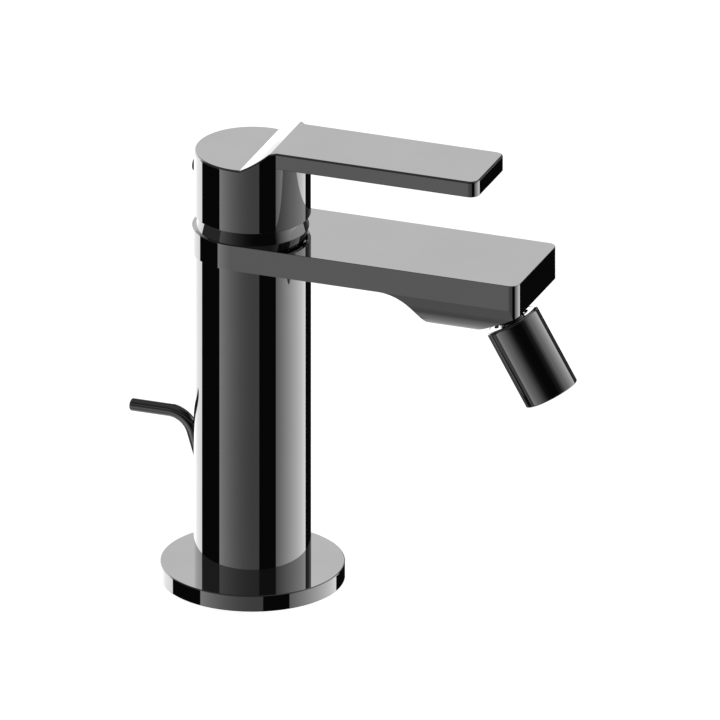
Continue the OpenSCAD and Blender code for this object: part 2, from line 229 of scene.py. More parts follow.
def settle(ob, name, normal_at):
    """Cleans a cut solid, gives every corner its exact normal and scales it to metres.
    normal_at(points, centre, flat) returns one normal per point, or None for a flat face."""
    me = ob.data
    bm = bmesh.new()
    bm.from_mesh(me)
    bmesh.ops.remove_doubles(bm, verts=bm.verts, dist=2e-4)
    bmesh.ops.dissolve_degenerate(bm, edges=bm.edges, dist=2e-4)
    bmesh.ops.recalc_face_normals(bm, faces=bm.faces)
    bm.to_mesh(me)
    bm.free()
    normals = []
    for p in me.polygons:
        pts = [me.vertices[i].co.copy() for i in p.vertices]
        normals.extend(normal_at(pts, p.center.copy(), p.normal.copy()) or [p.normal.copy()] * len(pts))
    me.transform(Matrix.Scale(MM, 4))
    me.polygons.foreach_set("use_smooth", [True] * len(me.polygons))
    me.normals_split_custom_set([n.normalized() for n in normals])
    me.update()
    ob.name = me.name = name
    return ob


def on_cylinder(pts, r, cx=0.0, tol=0.02):
    return all(abs(math.hypot(p.x - cx, p.y) - r) < tol for p in pts)


def radial(pts, inward=False, cx=0.0):
    s = -1 if inward else 1
    return [Vector((s * (p.x - cx), s * p.y, 0)) for p in pts]


# ------------------------------------------------------------------ materials


def new_material(name):
    m = bpy.data.materials.new(name)
    m.use_nodes = True
    nt = m.node_tree
    nt.nodes.clear()
    out = nt.nodes.new("ShaderNodeOutputMaterial")
    bsdf = nt.nodes.new("ShaderNodeBsdfPrincipled")
    nt.links.new(bsdf.outputs["BSDF"], out.inputs["Surface"])
    return m, nt, bsdf


def noise(nt, scale, detail=3.0, stretch=None):
    tc = nt.nodes.new("ShaderNodeTexCoord")
    tex = nt.nodes.new("ShaderNodeTexNoise")
    tex.inputs["Scale"].default_value = scale
    tex.inputs["Detail"].default_value = detail
    tex.inputs["Roughness"].default_value = 0.55
    if stretch:
        mp = nt.nodes.new("ShaderNodeMapping")
        mp.inputs["Scale"].default_value = stretch
        nt.links.new(tc.outputs["Object"], mp.inputs["Vector"])
        nt.links.new(mp.outputs["Vector"], tex.inputs["Vector"])
    else:
        nt.links.new(tc.outputs["Object"], tex.inputs["Vector"])
    return tex


def tint(nt, tex, low, high, socket, a=0.35, b=0.65):
    cr = nt.nodes.new("ShaderNodeValToRGB")
    cr.color_ramp.elements[0].position, cr.color_ramp.elements[1].position = a, b
    cr.color_ramp.elements[0].color = (*low, 1)
    cr.color_ramp.elements[1].color = (*high, 1)
    nt.links.new(tex.outputs["Fac"], cr.inputs["Fac"])
    nt.links.new(cr.outputs["Color"], socket)


def span(nt, tex, low, high, socket):
    mr = nt.nodes.new("ShaderNodeMapRange")
    mr.inputs["From Min"].default_value, mr.inputs["From Max"].default_value = 0.3, 0.7
    mr.inputs["To Min"].default_value, mr.inputs["To Max"].default_value = low, high
    nt.links.new(tex.outputs["Fac"], mr.inputs["Value"])
    nt.links.new(mr.outputs["Result"], socket)


def bump(nt, tex, strength, distance, bsdf):
    bp = nt.nodes.new("ShaderNodeBump")
    bp.inputs["Strength"].default_value = strength
    bp.inputs["Distance"].default_value = distance
    nt.links.new(tex.outputs["Fac"], bp.inputs["Height"])
    nt.links.new(bp.outputs["Normal"], bsdf.inputs["Normal"])


def finish_material(name, low, high, metal, rough_lo, rough_hi, grain, depth, stretch=None,
                    colour_scale=60.0, **more):
    m, nt, bsdf = new_material(name)
    bsdf.inputs["Metallic"].default_value = metal
    for key, value in more.items():
        bsdf.inputs[key].default_value = value
    tint(nt, noise(nt, colour_scale, 4.0), low, high, bsdf.inputs["Base Color"])
    span(nt, noise(nt, grain, 3.0, stretch), rough_lo, rough_hi, bsdf.inputs["Roughness"])
    bump(nt, noise(nt, grain * 1.7, 2.0, stretch), 0.35, depth, bsdf)
    return m


# polished black chrome: a dark mirror with a barely uneven tone and a faint polishing haze
CHROME = finish_material("black_chrome", (0.322,) * 3, (0.338,) * 3, 1.0, 0.012, 0.03, 22.0, 1.2e-6,
                         colour_scale=26.0)
BRASS = finish_material("brass", (0.62, 0.43, 0.17), (0.74, 0.54, 0.25), 1.0, 0.22, 0.38, 900.0, 4e-6,
                        stretch=(0.08, 0.08, 3.0))
SHELL = finish_material("cartridge_plastic", (0.72, 0.72, 0.68), (0.80, 0.80, 0.77), 0.0, 0.38, 0.52, 700.0, 6e-6)
BUSH = finish_material("bush_plastic", (0.016, 0.016, 0.017), (0.030, 0.030, 0.032), 0.0, 0.38, 0.55, 1100.0, 8e-6)
CERAMIC = finish_material("ceramic", (0.84, 0.83, 0.79), (0.90, 0.90, 0.87), 0.0, 0.12, 0.22, 1500.0, 2e-6)
STEEL = finish_material("steel", (0.55, 0.56, 0.57), (0.66, 0.67, 0.68), 1.0, 0.20, 0.36, 1200.0, 3e-6,
                        stretch=(1.0, 1.0, 0.06))
DARK_STEEL = finish_material("dark_steel", (0.045, 0.045, 0.048), (0.085, 0.085, 0.09), 1.0, 0.30, 0.48, 1000.0, 5e-6)
RUBBER = finish_material("rubber", (0.011, 0.011, 0.011), (0.022, 0.022, 0.021), 0.0, 0.62, 0.82, 1600.0, 2e-5)
REGULATOR = finish_material("regulator_plastic", (0.10, 0.24, 0.40), (0.16, 0.32, 0.48), 0.0, 0.32, 0.46, 900.0, 5e-6)
INSERT = finish_material("insert_plastic", (0.36, 0.37, 0.38), (0.45, 0.46, 0.47), 0.0, 0.34, 0.5, 900.0, 6e-6)

FINISH = {
    "black_chrome": CHROME, "brass": BRASS, "cartridge_plastic": SHELL, "bush_plastic": BUSH, "ceramic": CERAMIC,
    "steel": STEEL, "dark_steel": DARK_STEEL, "rubber": RUBBER, "regulator_plastic": REGULATOR,
    "insert_plastic": INSERT,
}
SLOT_OF = {
    "base_gasket": "rubber", "rosette_o_ring": "rubber", "rod_guide_bush": "bush_plastic",
    "spout_gasket": "rubber", "cartridge_nut": "brass", "cartridge_housing": "cartridge_plastic",
    "cartridge_base": "cartridge_plastic", "cartridge_port_seals": "rubber", "fixed_ceramic_disc": "ceramic",
    "moving_ceramic_disc": "ceramic", "disc_carrier": "cartridge_plastic", "cartridge_rotor": "cartridge_plastic",
    "lever_pivot_pin": "steel", "cartridge_stem": "steel", "handle_set_screw": "dark_steel",
    "ball_liner": "cartridge_plastic", "ball_seal": "rubber", "aerator_washer": "rubber",
    "flow_regulator": "regulator_plastic", "aerator_screen": "steel", "aerator_housing": "insert_plastic",
}


def stand_for(ob, node, body, slot):
    ob.data.materials.clear()
    ob.data.materials.append(FINISH[slot])
    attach(ob, body)
    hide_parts(node)
    return ob


# ------------------------------------------------------------------ base and column

# heights above the deck
BASE_T, SPOUT_BOT, TOP = 5.6, 114.9, 123.65
Z_BOT, Z_MOON, Z_LEVER, Z_UNDER = 128.15, 150.15, 155.65, 150.2
NECK_TOP, SEAT_Z = Z_BOT - 0.1, Z_BOT - 29.7

rosette = soften([(17.1, 0), (20.5, 0), (20.5, 1.5), (25.5, 1.5), (25.5, 0), (30, 0), (30, BASE_T), (17.1, BASE_T),
                  (17.1, 3.6), (18.5, 3.6), (18.5, 1.9), (17.1, 1.9)], {5: 0.2, 6: 0.35}, 6)
stand_for(lathe("rosette_plate", rosette, 320), "base_rosette", "tap_body", "black_chrome")

LEG_TOP = Vector((-20.5543, 0, 48.1284))
LEG_UP = Vector((-0.28569, 0, 0.95832))
ON_ROD = Matrix.Translation(LEG_TOP) @ Matrix.Rotation(-rad(16.6), 4, "Y")
LEG = 48.9693

col = [(0.0, 0.0), (17, 0), (17, BASE_T), (19, BASE_T), (19, SPOUT_BOT), (14.9, SPOUT_BOT),
       (14.9, NECK_TOP - 0.7), (12.55, NECK_TOP - 0.7), (12.55, SEAT_Z), (0.0, SEAT_Z)]
seg = 288
verts, faces, rows = [], [], []
for r, z in col:
    if r == 0:
        rows.append([len(verts)] * seg)
        verts.append((0, 0, z))
    else:
        rows.append(list(range(len(verts), len(verts) + seg)))
        verts += [(r * math.cos(2 * math.pi * i / seg), r * math.sin(2 * math.pi * i / seg), z) for i in range(seg)]
for a, b in zip(rows, rows[1:]):
    for i in range(seg):
        j = (i + 1) % seg
        faces.append(tuple(dict.fromkeys((a[i], a[j], b[j], b[i]))))
column = rough("column", verts, faces)
combine(column, rod_cutter(3.4, -1, 16), "DIFFERENCE")
for side in (-1, 1):
    combine(column, rod_cutter(4.5, -1, 14, Matrix.Translation((4, side * 8.2, 0))), "DIFFERENCE")
combine(column, rod_cutter(2.6, -LEG - 8, -20, ON_ROD, 64), "DIFFERENCE")
combine(column, rod_cutter(2.85, -26, 6, ON_ROD, 96), "DIFFERENCE")


def column_normals(pts, centre, flat):
    if abs(flat.z) < 0.02:
        for r in (19, 17, 14.9):
            if on_cylinder(pts, r):
                return radial(pts)
        if on_cylinder(pts, 12.55):
            return radial(pts, True)
    return None


settle(column, "column_shell", column_normals)
stand_for(column, "column_body", "tap_body", "black_chrome")

# ------------------------------------------------------------------ spout

COLLAR, TIP, CORNER = 19.175, 98.4, 3.1
BACK = -0.5      # centre of the collar's round rear
THICK = TOP - SPOUT_BOT
EDGE = 0.14


def spout_outline(d):
    pts = arc(BACK, 0, COLLAR - d, 90, 270, 144)
    pts += arc(TIP - CORNER, -(COLLAR - CORNER), CORNER - d, -90, 0, 30)
    pts += arc(TIP - CORNER, COLLAR - CORNER, CORNER - d, 0, 90, 30)
    return pts


loops = [[(x, y, TOP - 30) for x, y in spout_outline(0)]]
for b in spread(0, 90, 4):
    loops.append([(x, y, TOP - EDGE * (1 - math.sin(rad(b)))) for x, y in spout_outline(EDGE * (1 - math.cos(rad(b))))])
spout = stack("spout", loops)

COVE_X, COVE_R = 50.2, 16.3
COVE_Z = SPOUT_BOT - COVE_R
BOSS, TIP_FACE = 20.45, 11.15
low = TOP - BOSS - 0.25
side_view = [(-25, TOP + 2), (-25, SPOUT_BOT)]
side_view += arc(COVE_X, COVE_Z, COVE_R, 90, math.degrees(math.asin((low - COVE_Z) / COVE_R)), 64)
slope = math.tan(rad(28))
side_view += [(TIP - (TOP - low - TIP_FACE) / slope, low), (TIP + 6, TOP - TIP_FACE + 6 * slope), (TIP + 6, TOP + 2)]
combine(spout, stack("side", [[(x, y, z) for x, z in side_view] for y in (-30, 30)]), "INTERSECT")

BAND = math.tan(rad(8))
ROUND_R = (BOSS - 12.05) / (1 - math.sin(rad(8)))
band_y = COLLAR + 0.007 - (12.05 - THICK) * BAND
round_y, round_z = band_y - ROUND_R * math.cos(rad(8)), TOP - 12.05 + ROUND_R * math.sin(rad(8))
half = [(COLLAR + 0.6, TOP + 2.5), (COLLAR + 0.6, SPOUT_BOT + (0.6 - 0.007) / BAND)]
half += arc(round_y, round_z, ROUND_R, -8, -90, 60)
section = half + [(-y, z) for y, z in reversed(half)]
combine(spout, stack("section", [[(x, y, z) for y, z in section] for x in (-30, 110)]), "INTERSECT")
combine(spout, rod_cutter(15.0, TOP - 20, TOP + 5, None, 180), "DIFFERENCE")


def spout_normals(pts, centre, flat):
    if centre.z > TOP - EDGE and flat.z < 0.999 and abs(math.hypot(centre.x, centre.y) - 15) > 0.05:
        out = []
        for p in pts:
            if p.x < BACK + 1e-4:
                h = Vector((p.x - BACK, p.y, 0)).normalized()
            elif p.x > TIP - CORNER - 1e-4:
                h = Vector((p.x - (TIP - CORNER), max(abs(p.y) - (COLLAR - CORNER), 0) * (1 if p.y > 0 else -1), 0)).normalized()
            else:
                h = Vector((0, 1 if p.y > 0 else -1, 0))
            s = min(max((p.z - (TOP - EDGE)) / EDGE, 0), 1)
            out.append(h * math.sqrt(1 - s * s) + Vector((0, 0, s)))
        return out
    if abs(flat.z) < 0.02:
        if on_cylinder(pts, 15):
            return radial(pts, True)
        if centre.x < BACK and on_cylinder(pts, COLLAR, BACK):
            return radial(pts, False, BACK)
        if centre.x > TIP - CORNER and abs(centre.y) > COLLAR - CORNER:
            cy = (COLLAR - CORNER) * (1 if centre.y > 0 else -1)
            return [Vector((p.x - (TIP - CORNER), p.y - cy, 0)) for p in pts]
    if abs(flat.y) < 0.02 and all(abs(math.hypot(p.x - COVE_X, p.z - COVE_Z) - COVE_R) < 0.02 for p in pts):
        return [Vector((COVE_X - p.x, 0, COVE_Z - p.z)) for p in pts]
    if abs(flat.x) < 0.02 and flat.z < 0:
        cy = round_y * (1 if centre.y > 0 else -1)
        if abs(centre.y) > round_y and all(abs(math.hypot(p.y - cy, p.z - round_z) - ROUND_R) < 0.02 for p in pts):
            return [Vector((0, p.y - cy, p.z - round_z)) for p in pts]
    return None


settle(spout, "spout_shell", spout_normals)
stand_for(spout, "spout", "tap_body", "black_chrome")

# ------------------------------------------------------------------ neck ring

ring_profile = soften([(14.95, TOP), (18.4, TOP), (18.4, TOP + 0.15), (17.3, NECK_TOP - 0.1), (17.15, NECK_TOP),
                       (14.95, NECK_TOP)], {3: 0.08}, 3)
stand_for(lathe("neck_cone", ring_profile, 240), "neck_ring", "tap_body", "black_chrome")

# ------------------------------------------------------------------ handle

R, HALF_W = 18.95, 13.575
REACH, TIP_R = 82.4, 3.2
RAMP_X, RAMP_RUN, RAMP_RISE = 2.4, 8.7, Z_LEVER - Z_MOON
ROUND_TOP, ROUND_LOW, ROUND_SKIRT = 0.62, 0.25, 0.15

# the ramp, from the rear flat up to the lever, with its crest rounded
ramp = []
for t in spread(0, 1, 44):
    ramp.append((RAMP_X + RAMP_RUN * t + 4 * 0.33 * 0.528 * t * (1 - t),
                 Z_MOON + RAMP_RISE * t - 4 * 0.33 * 0.85 * t * (1 - t)))
CREST = 0.7
reach = CREST * math.tan(math.atan2(RAMP_RISE + 1.122, RAMP_RUN - 0.697) / 2)
ramp = [p for p in ramp if math.hypot(p[0] - ramp[-1][0], p[1] - ramp[-1][1]) > reach * 1.05 or p == ramp[-1]]
crest = soften([ramp[-2], ramp[-1], (40, Z_LEVER), (40, 140)], {1: CREST}, 8)
ramp = ramp[:-1] + crest[1:10]
X_RAMP, X_CREST = ramp[0][0], ramp[-1][0]


def handle_half(d):
    """Half of the handle's outline in plan, from its rear point to the middle of its tip,
    set in by d: a list of (x, y, height of the top, which wall)."""
    r = R - d
    out = []
    a_end = math.degrees(math.acos(X_RAMP / r))
    for a in spread(180, a_end, 120)[:-1]:
        out.append((r * math.cos(rad(a)), r * math.sin(rad(a)) if a < 180 else 0.0, Z_MOON, "hub"))
    for x, z in ramp:
        out.append((x, math.sqrt(r * r - x * x), z, "hub"))
    j = math.sqrt(r * r - (HALF_W - d) ** 2)
    a0, a1 = math.acos(X_CREST / r), math.acos(j / r)
    for a in spread(a0, a1, 8)[1:-1]:
        out.append((r * math.cos(a), r * math.sin(a), Z_LEVER, "hub"))
    for x in spread(j, REACH - TIP_R, 24):
        out.append((x, HALF_W - d, Z_LEVER, "lever"))
    for x, y in arc(REACH - TIP_R, HALF_W - TIP_R, TIP_R - d, 90, 0, 24)[1:]:
        out.append((x, y, Z_LEVER, "corner"))
    for y in spread(HALF_W - TIP_R, 0, 8)[1:]:
        out.append((REACH - d, y, Z_LEVER, "tip"))
    return out


def wall_normal(x, y, part):
    if part == "hub":
        return Vector((x, y, 0)).normalized()
    if part == "lever":
        return Vector((0, 1, 0))
    if part == "corner":
        return Vector((x - (REACH - TIP_R), y - (HALF_W - TIP_R), 0)).normalized()
    return Vector((1, 0, 0))


STEPS = 6
levels = []
for b in spread(0, 90, STEPS):
    levels.append((handle_half(ROUND_TOP * (1 - math.cos(rad(b)))), ROUND_TOP * (1 - math.sin(rad(b))), rad(b)))
base = levels[0][0]
count = len(base)
HUB_LAST = max(i for i in range(count) if base[i][3] == "hub")   # the next point is the junction
parts = []
for i in range(count - 1):
    a, b = base[i][3], base[i + 1][3]
    parts.append("hub" if a == "hub" else ("lever" if b == "lever" else b))
top_line = [(p[0], p[2]) for p in levels[-1][0]]
top_ends = [(Vector((-a.x, -a.y)), Vector((-b.x, -b.y))) for a, b in line_normals(top_line, False, 12)]
LEVEL = Vector((0, 1)), Vector((0, 1))      # the lever's top is flat up to its tip
top_ends = [ends if parts[i] == "hub" else LEVEL for i, ends in enumerate(top_ends)]

handle = Shell()


def flip(p):
    return Vector((p[0], -p[1], p[2]))


def both(points, normals):
    """A face on the +Y side and its mirror image."""
    handle.face(points, normals)
    handle.face([flip(p) for p in points], [flip(n) for n in normals])


def edge_normal(i, which, beta, here):
    """Normal on the rounded top edge, at the start or end of outline segment i."""
    h = wall_normal(here[0], here[1], parts[i])
    t = top_ends[i][which]
    return (h * math.cos(beta) + Vector((t.x, 0, t.y)) * math.sin(beta)).normalized()


for (lo, hlo, blo), (hi, hhi, bhi) in zip(levels, levels[1:]):
    for i in range(count - 1):
        pts = [(lo[i][0], lo[i][1], lo[i][2] - hlo), (lo[i + 1][0], lo[i + 1][1], lo[i + 1][2] - hlo),
               (hi[i + 1][0], hi[i + 1][1], hi[i + 1][2] - hhi), (hi[i][0], hi[i][1], hi[i][2] - hhi)]
        nrm = [edge_normal(i, 0, blo, lo[i]), edge_normal(i, 1, blo, lo[i + 1]),
               edge_normal(i, 1, bhi, hi[i + 1]), edge_normal(i, 0, bhi, hi[i])]
        both(pts, nrm)

# top: rear flat, ramp and lever, in strips across the handle
last = levels[-1][0]
tip_start = next(i for i in range(count) if last[i][3] == "tip")
for i in range(tip_start - 1):
    (x0, y0, z0, _), (x1, y1, z1, _) = last[i], last[i + 1]
    n0, n1 = top_ends[i]
    n0, n1 = Vector((n0.x, 0, n0.y)), Vector((n1.x, 0, n1.y))
    if i == 0:
        handle.face([(x0, 0, z0), (x1, y1, z1), (x1, -y1, z1)], [n0, n1, n1])
    else:
        handle.face([(x0, y0, z0), (x1, y1, z1), (x1, -y1, z1), (x0, -y0, z0)], [n0, n1, n1, n0])
ring_tip = [last[i] for i in range(tip_start - 1, count)]
handle.face([(p[0], p[1], p[2]) for p in ring_tip] + [(p[0], -p[1], p[2]) for p in reversed(ring_tip[:-1])],
            [(0, 0, 1)] * (2 * len(ring_tip) - 1))

# walls of the hub, down to the skirt
z_skirt = Z_BOT + ROUND_SKIRT
for i in range(HUB_LAST + 1):
    a, b = base[i], base[i + 1]
    na, nb = wall_normal(a[0], a[1], "hub"), wall_normal(b[0], b[1], "hub")
    pts = [(a[0], a[1], a[2] - ROUND_TOP), (b[0], b[1], b[2] - ROUND_TOP)]
    nrm = [na, nb]
    if i == HUB_LAST:
        pts.append((b[0], b[1], Z_UNDER + ROUND_LOW))
        nrm.append(nb)
    pts += [(b[0], b[1], z_skirt), (a[0], a[1], z_skirt)]
    nrm += [nb, na]
    both(pts, nrm)

# walls of the lever, and its rounded lower edge
low_levels = []
for b in spread(0, 90, 4):
    d, h = ROUND_LOW * (1 - math.cos(rad(b))), ROUND_LOW * (1 - math.sin(rad(b)))
    loop = [p for p in handle_half(d) if p[3] != "hub"]
    start = math.sqrt(R * R - (HALF_W - d) ** 2)
    loop[0] = (start, HALF_W - d, Z_LEVER, "lever")
    low_levels.append((loop, Z_UNDER + h, rad(b)))
lever = low_levels[0][0]
for i in range(len(lever) - 1):
    a, b = lever[i], lever[i + 1]
    part = parts[HUB_LAST + 1 + i]
    na, nb = wall_normal(a[0], a[1], part), wall_normal(b[0], b[1], part)
    both([(a[0], a[1], a[2] - ROUND_TOP), (b[0], b[1], b[2] - ROUND_TOP),
          (b[0], b[1], Z_UNDER + ROUND_LOW), (a[0], a[1], Z_UNDER + ROUND_LOW)], [na, nb, nb, na])
for (hi, zhi, bhi), (lo, zlo, blo) in zip(low_levels, low_levels[1:]):
    for i in range(len(lever) - 1):
        part = parts[HUB_LAST + 1 + i]
        pts, nrm = [], []
        for loop, z, beta, k in ((hi, zhi, bhi, i), (hi, zhi, bhi, i + 1), (lo, zlo, blo, i + 1), (lo, zlo, blo, i)):
            pts.append((loop[k][0], loop[k][1], z))
            nrm.append(wall_normal(loop[k][0], loop[k][1], part) * math.cos(beta) - Vector((0, 0, math.sin(beta))))
        both(pts, nrm)

# hub wall under the lever
front = [(loop[0][0], loop[0][1], z) for loop, z, beta in low_levels]
a_front = math.degrees(math.atan2(front[-1][1], front[-1][0]))
turns = sorted({round(a, 9) for a in spread(a_front, 0, 48)} | {45.0}, reverse=True)
front_arc = [(R * math.cos(rad(a)), R * math.sin(rad(a)), Z_UNDER) for a in turns[1:]]
front += front_arc
for a, b in zip(front, front[1:]):
    na, nb = wall_normal(a[0], a[1], "hub"), wall_normal(b[0], b[1], "hub")
    both([a, b, (b[0], b[1], z_skirt), (a[0], a[1], z_skirt)], [na, nb, nb, na])

# the lever's underside
under = [(p[0], p[1], Z_UNDER) for p in low_levels[-1][0]]
rim = under + [(p[0], -p[1], p[2]) for p in reversed(under[:-1])]
rim += [(p[0], -p[1], p[2]) for p in front_arc] + [(p[0], p[1], p[2]) for p in reversed(front_arc[:-1])]
handle.face(rim, [(0, 0, -1)] * len(rim))

# skirt, hollow and socket boss: revolved through the wall's own corners, so that nothing gaps
upper = [math.degrees(math.atan2(p[1], p[0])) for p in base[:HUB_LAST + 2]]
upper += [math.degrees(math.atan2(p[1], p[0])) for p in front[1:]]
around = upper + [-a for a in reversed(upper[1:-1])]
around = [a % 360 for a in around][::-1]
hollow = [(7.6, Z_BOT + 4.2), (7.6, Z_MOON - 3.5), (R - 2, Z_MOON - 3.5), (R - 2, Z_BOT + 4.2), (R - 1, Z_BOT + 3.2),
          (R - 1, Z_BOT)]
hollow += [(R - ROUND_SKIRT * (1 - math.cos(rad(b))), Z_BOT + ROUND_SKIRT * (1 - math.sin(rad(b)))) for b in spread(90, 0, 3)]
rings(handle, around, hollow, False)
flat_z, deep_z = Z_BOT + 4.2, Z_MOON - 5.2
square = []
for a in around:
    c, s = math.cos(rad(a)), math.sin(rad(a))
    m = 3.55 / max(abs(c), abs(s))
    square.append((m * c, m * s, c, s))
for j in range(len(around)):
    p, q = square[j - 1], square[j]
    handle.face([(7.6 * p[2], 7.6 * p[3], flat_z), (7.6 * q[2], 7.6 * q[3], flat_z), (q[0], q[1], flat_z),
                 (p[0], p[1], flat_z)], [(0, 0, -1)] * 4)
    mid = ((p[0] + q[0]) / 2, (p[1] + q[1]) / 2)
    wall = Vector((-mid[0], 0, 0)) if abs(mid[0]) > abs(mid[1]) else Vector((0, -mid[1], 0))
    handle.face([(p[0], p[1], flat_z), (q[0], q[1], flat_z), (q[0], q[1], deep_z), (p[0], p[1], deep_z)],
                [wall.normalized()] * 4)
handle.face([(p[0], p[1], deep_z) for p in square], [(0, 0, -1)] * len(square))
stand_for(handle.object("handle_shell"), "handle", "lever_handle", "black_chrome")

# plug over the set screw, at the rear of the hub
TO_REAR = Matrix.Translation((0, 0, Z_BOT + 13.8)) @ Matrix.Rotation(-rad(90), 4, "Y")
plug = [(0.0, R - 2.6), (2.0, R - 2.6), (2.0, R - 0.35), (2.2, R - 0.35), (2.2, R + 1.0)]
plug += arc(2.2 - 0.32, R + 0.9, 0.32, 18, 76, 5) + [(1.1, R + 1.28), (0.0, R + 1.3)]
stand_for(lathe("index_plug_cap", plug, 72, TO_REAR), "index_plug", "lever_handle", "bush_plastic")

# ------------------------------------------------------------------ aerator

ON_NOZZLE = Matrix.Translation((87.53, 0, TOP - TIP_FACE - (TIP - 87.53) * slope)) @ Matrix.Rotation(rad(150), 4, "Y")
S0, S1, BALL = 3.55, 31.65, 9.55

neck_end = BALL - math.sqrt(7.4 ** 2 - 4.4 ** 2)
ball_top = math.degrees(math.atan2(neck_end - BALL, 4.4))
ball_low = math.degrees(math.asin(6.7 / 7.4))
stud = [(2.0, -9.0), (3.9, -9.0), (3.9, 0.18), (4.4, 0.18)]
stud += arc(0, BALL, 7.4, ball_top, ball_low, 40) + [(2.0, BALL + 6.7)]
stand_for(lathe("ball_stud_turned", stud, 128, ON_NOZZLE), "ball_stud", "tap_body", "black_chrome")

barrel = soften([(8.15, S0), (9.35, S0), (9.35, S1), (8.2, S1), (8.2, BALL + 9.0), (6.2, BALL + 9.0),
                 (6.2, BALL + 5.29)], {1: 1.0, 2: 0.42}, 12)
barrel += arc(0, BALL, 8.15, math.degrees(math.asin(5.29 / 8.15)), 0, 16)[0:]
stand_for(lathe("barrel_turned", barrel, 224, ON_NOZZLE), "nozzle_barrel", "aerator", "black_chrome")

a_hi = math.degrees(math.acos(6.15 / 7.5))
a_lo = math.degrees(math.asin((BALL - (S0 + 2.95)) / 7.5))
keeper = [(6.15, S0 + 0.1), (8.1, S0 + 0.1), (8.1, S0 + 2.95)]
keeper += [(7.5 * math.cos(rad(a)), BALL - 7.5 * math.sin(rad(a))) for a in spread(a_lo, a_hi, 8)]
stand_for(lathe("ball_keeper", keeper, 128, ON_NOZZLE), "ball_retaining_ring", "aerator", "black_chrome")

# ------------------------------------------------------------------ lift rod

ROD_R, BEND_R, ROD_A = 2.15, 8.5, 73.4
BEND = Vector((-28.7, 0, 45.7))
stations = []   # centre, outward normal in the bend's plane, direction, radius, lean of the surface normal
out0 = Vector((math.sin(rad(ROD_A)), 0, math.cos(rad(ROD_A))))
foot = LEG_TOP - LEG_UP * LEG
for s in spread(0, 1, 24):
    stations.append((foot + LEG_UP * (LEG * s), out0, LEG_UP, ROD_R, 0.0))
for a in spread(ROD_A, 0, 40)[1:]:
    o = Vector((math.sin(rad(a)), 0, math.cos(rad(a))))
    stations.append((BEND + o * BEND_R, o, Vector((-math.cos(rad(a)), 0, math.sin(rad(a)))), ROD_R, 0.0))
o, go = Vector((0, 0, 1)), Vector((-1, 0, 0))
run = 13.4
for s in spread(0, run - 0.9, 6)[1:]:
    stations.append((BEND + o * BEND_R + go * s, o, go, ROD_R, 0.0))
for a in spread(0, 90, 8)[1:]:
    s = run - 0.9 * (1 - math.sin(rad(a)))
    stations.append((BEND + o * BEND_R + go * s, o, go, ROD_R - 0.9 * (1 - math.cos(rad(a))), rad(a)))
rod = Shell()
TURN = 72
Y = Vector((0, 1, 0))


def at(station, k, r=None):
    c, out, go_, rr, lean = station
    t = 2 * math.pi * k / TURN
    d = out * math.cos(t) + Y * math.sin(t)
    return c + d * (rr if r is None else r), d * math.cos(lean) + go_ * math.sin(lean)


for a, b in zip(stations, stations[1:]):
    for k in range(TURN):
        four = [at(a, k), at(a, k + 1), at(b, k + 1), at(b, k)]
        rod.face([f[0] for f in four], [f[1] for f in four])
end = stations[-1]
rod.face([at(end, k)[0] for k in range(TURN)], [go] * TURN)
start = stations[0]
deep = (start[0] + LEG_UP * 8, out0, LEG_UP, 1.25, 0.0)
for k in range(TURN):
    rod.face([at(start, k)[0], at(start, k + 1)[0], at(start, k + 1, 1.25)[0], at(start, k, 1.25)[0]], [-LEG_UP] * 4)
    four = [at(start, k, 1.25), at(start, k + 1, 1.25), at(deep, k + 1), at(deep, k)]
    rod.face([f[0] for f in four], [-f[1] for f in four])
rod.face([at(deep, k)[0] for k in range(TURN)], [-LEG_UP] * TURN)
stand_for(rod.object("lift_rod_bent"), "lift_rod", "pop_up_rod", "black_chrome")

# ------------------------------------------------------------------ carried-over nodes

for name, slot_name in SLOT_OF.items():
    ob = nodes[name]
    ob.data.materials.clear()
    ob.data.materials.append(FINISH[slot_name])

# ------------------------------------------------------------------ studio

floor_mesh = bpy.data.meshes.new("floor")
floor_mesh.from_pydata([(-9, -9, 0), (9, -9, 0), (9, 9, 0), (-9, 9, 0)], [], [(0, 1, 2, 3)])
floor = bpy.data.objects.new("floor", floor_mesh)
scene.collection.objects.link(floor)
pale, nt, bsdf = new_material("pale_floor")
bsdf.inputs["Base Color"].default_value = (0.8, 0.8, 0.8, 1)
bsdf.inputs["Roughness"].default_value = 0.9
bsdf.inputs["Specular IOR Level"].default_value = 0.0
bsdf.inputs["Emission Color"].default_value = (1, 1, 1, 1)
bsdf.inputs["Emission Strength"].default_value = 0.94
floor_mesh.materials.append(pale)
floor.visible_glossy = False

# plain studio: a few soft panels round the object, with dark gaps between them
world = bpy.data.worlds.new("studio")
scene.world = world
world.use_nodes = True
wt = world.node_tree
wt.nodes.clear()


def math_node(op, a, b=None):
    n = wt.nodes.new("ShaderNodeMath")
    n.operation = op
    for i, v in enumerate((a, b)):
        if v is None:
            continue
        if isinstance(v, (int, float)):
            n.inputs[i].default_value = v
        else:
            wt.links.new(v, n.inputs[i])
    return n.outputs[0]


def dot_node(vec, d):
    n = wt.nodes.new("ShaderNodeVectorMath")
    n.operation = "DOT_PRODUCT"
    wt.links.new(vec, n.inputs[0])
    n.inputs[1].default_value = d
    return n.outputs["Value"]


def ease(value, a, b, bend=1.0, low=0.0, high=1.0):
    """low where value is a, high where it is b, and level beyond both"""
    n = wt.nodes.new("ShaderNodeMapRange")
    n.inputs["From Min"].default_value, n.inputs["From Max"].default_value = rad(a), rad(b)
    wt.links.new(value, n.inputs["Value"])
    t = n.outputs["Result"]
    if bend != 1.0:
        t = math_node("POWER", t, bend)
    if (low, high) != (0.0, 1.0):
        t = math_node("ADD", math_node("MULTIPLY", t, high - low), low)
    return t


